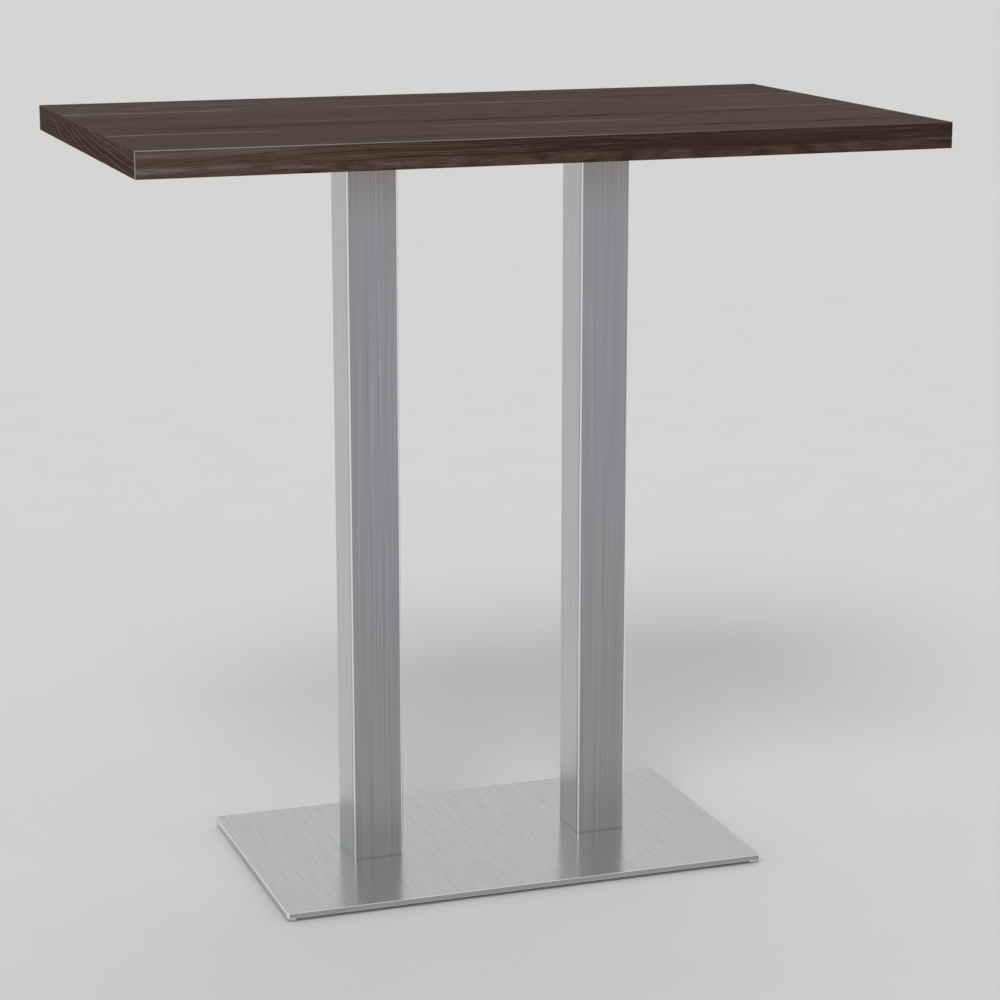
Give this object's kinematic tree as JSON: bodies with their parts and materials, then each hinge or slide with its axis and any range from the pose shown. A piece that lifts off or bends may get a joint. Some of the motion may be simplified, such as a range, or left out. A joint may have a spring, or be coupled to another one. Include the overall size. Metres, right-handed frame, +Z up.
{
  "type": "bar table",
  "caption": "Bar-height table: a dark wood-look rectangular top on square brushed-steel columns, which stand on a flat steel base plate with levelling feet.",
  "frame": {"origin": "on the floor, under the middle of the top, with the levelling feet set as the picture shows them", "axes": "+X along the table's length, +Y across it away from the front, +Z up"},
  "size_m": [1.2, 0.7, 1.152],
  "materials": {
    "wood_laminate": "satin dark brown wood decor, grain along the table",
    "edge_band": "satin dark brown wood decor, grain along each edge",
    "backing_laminate": "matt dark brown",
    "chipboard": "raw chipboard",
    "brushed_plate": "brushed across the plate",
    "brushed_column": "brushed along the column",
    "coated_plate": "matt black powder coat",
    "mill_steel": "plain mill finish",
    "zinc_screw": "bright zinc plate",
    "bright_screw": "bright stainless steel",
    "glide_plastic": "matt black"
  },
  "bodies": {
    "table": {"top_core": "chipboard", "top_laminate": "wood_laminate", "backing_laminate": "backing_laminate", "edge_band_front": "edge_band", "edge_band_back": "edge_band", "edge_band_left": "edge_band", "edge_band_right": "edge_band", "mounting_plate_left": "coated_plate", "wood_screws_left": "zinc_screw", "head_bolts_left": "zinc_screw", "head_flange_left": "mill_steel", "column_tube_left": "brushed_column", "foot_flange_left": "mill_steel", "foot_bolts_left": "zinc_screw", "mounting_plate_right": "coated_plate", "wood_screws_right": "zinc_screw", "head_bolts_right": "zinc_screw", "head_flange_right": "mill_steel", "column_tube_right": "brushed_column", "foot_flange_right": "mill_steel", "foot_bolts_right": "zinc_screw", "base_plate": "brushed_plate"},
    "glide_front_left": {"glide_pad_front_left": "glide_plastic"},
    "leveller_front_left": {"leveller_screw_front_left": "bright_screw"},
    "glide_front_right": {"glide_pad_front_right": "glide_plastic"},
    "leveller_front_right": {"leveller_screw_front_right": "bright_screw"},
    "glide_back_left": {"glide_pad_back_left": "glide_plastic"},
    "leveller_back_left": {"leveller_screw_back_left": "bright_screw"},
    "glide_back_right": {"glide_pad_back_right": "glide_plastic"},
    "leveller_back_right": {"leveller_screw_back_right": "bright_screw"}
  },
  "joints": [
    {"name": "glide_travel_front_left", "type": "slide", "parent": "table", "child": "glide_front_left", "axis": [0, 0, -1], "range_m": [-0.0008, 0.002]},
    {"name": "leveller_turn_front_left", "type": "hinge", "parent": "glide_front_left", "child": "leveller_front_left", "pos_m": [-0.3695, -0.2145, 0.001], "axis": [0, 0, -1], "range_deg": [-288, 720]},
    {"name": "glide_travel_front_right", "type": "slide", "parent": "table", "child": "glide_front_right", "axis": [0, 0, -1], "range_m": [-0.0008, 0.002]},
    {"name": "leveller_turn_front_right", "type": "hinge", "parent": "glide_front_right", "child": "leveller_front_right", "pos_m": [0.3695, -0.2145, 0.001], "axis": [0, 0, -1], "range_deg": [-288, 720]},
    {"name": "glide_travel_back_left", "type": "slide", "parent": "table", "child": "glide_back_left", "axis": [0, 0, -1], "range_m": [-0.0008, 0.002]},
    {"name": "leveller_turn_back_left", "type": "hinge", "parent": "glide_back_left", "child": "leveller_back_left", "pos_m": [-0.3695, 0.2145, 0.001], "axis": [0, 0, -1], "range_deg": [-288, 720]},
    {"name": "glide_travel_back_right", "type": "slide", "parent": "table", "child": "glide_back_right", "axis": [0, 0, -1], "range_m": [-0.0008, 0.002]},
    {"name": "leveller_turn_back_right", "type": "hinge", "parent": "glide_back_right", "child": "leveller_back_right", "pos_m": [0.3695, 0.2145, 0.001], "axis": [0, 0, -1], "range_deg": [-288, 720]}
  ],
  "couplings": [
    {"joint": "leveller_turn_front_left", "follows": "glide_travel_front_left", "rad_per_m": 6283.2},
    {"joint": "leveller_turn_front_right", "follows": "glide_travel_front_right", "rad_per_m": 6283.2},
    {"joint": "leveller_turn_back_left", "follows": "glide_travel_back_left", "rad_per_m": 6283.2},
    {"joint": "leveller_turn_back_right", "follows": "glide_travel_back_right", "rad_per_m": 6283.2}
  ]
}
